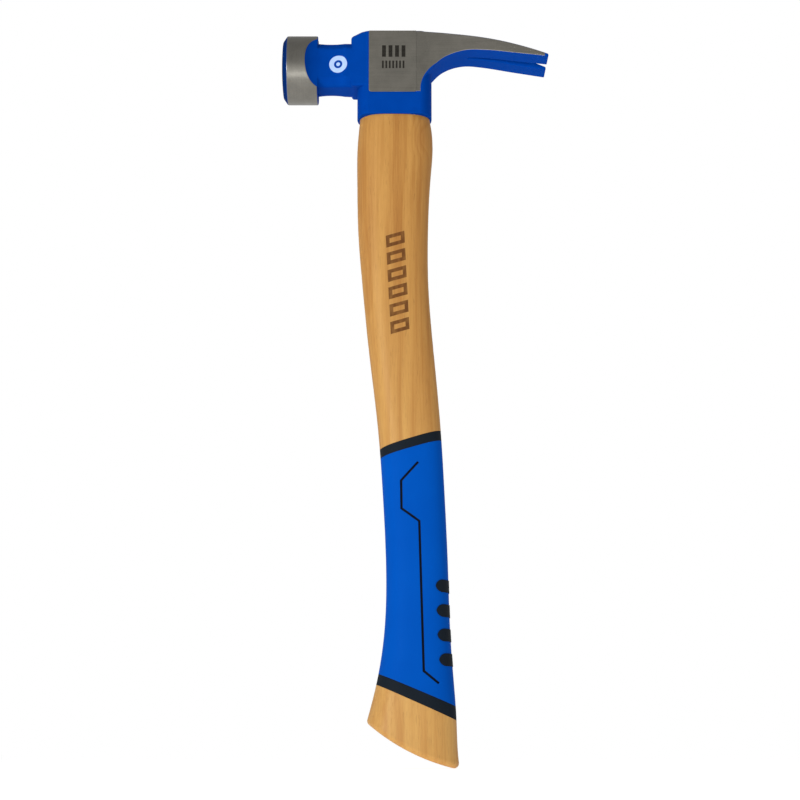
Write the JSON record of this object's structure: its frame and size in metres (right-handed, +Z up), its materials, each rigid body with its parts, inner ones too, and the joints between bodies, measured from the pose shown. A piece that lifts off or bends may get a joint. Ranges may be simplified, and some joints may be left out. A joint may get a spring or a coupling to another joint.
{
  "type": "claw hammer",
  "caption": "Long-handled rip claw hammer: forged steel head wedged on a curved hickory handle with a two-colour moulded grip.",
  "frame": {"origin": "centre of the moulded grip, in the middle of the handle's section", "axes": "+Z up the handle to the head, -X the way the poll strikes, +X the claw, Y across the handle, symmetric about Y = 0"},
  "size_m": [0.1478, 0.038, 0.4026],
  "materials": {
    "head_paint": "forged steel with satin blue enamel; the poll's side and face, the cheek panels and the claw's sides are ground bare",
    "magnet_nickel": "nickel-plated magnet",
    "hickory": "straight-grained hickory under clear satin lacquer",
    "wedge_wood": "darker hardwood wedge, sawn flush",
    "wedge_steel": "mild steel wedge, ground flush",
    "grip_black": "matt black moulded rubber",
    "grip_blue": "satin blue moulded cover, finely textured"
  },
  "bodies": {
    "root": {"hammer_head": "head_paint", "nail_magnet": "magnet_nickel", "handle": "hickory", "eye_wedge": "wedge_wood", "steel_wedge_front": "wedge_steel", "steel_wedge_back": "wedge_steel", "grip_core": "grip_black", "grip_cover": "grip_blue"}
  },
  "joints": []
}
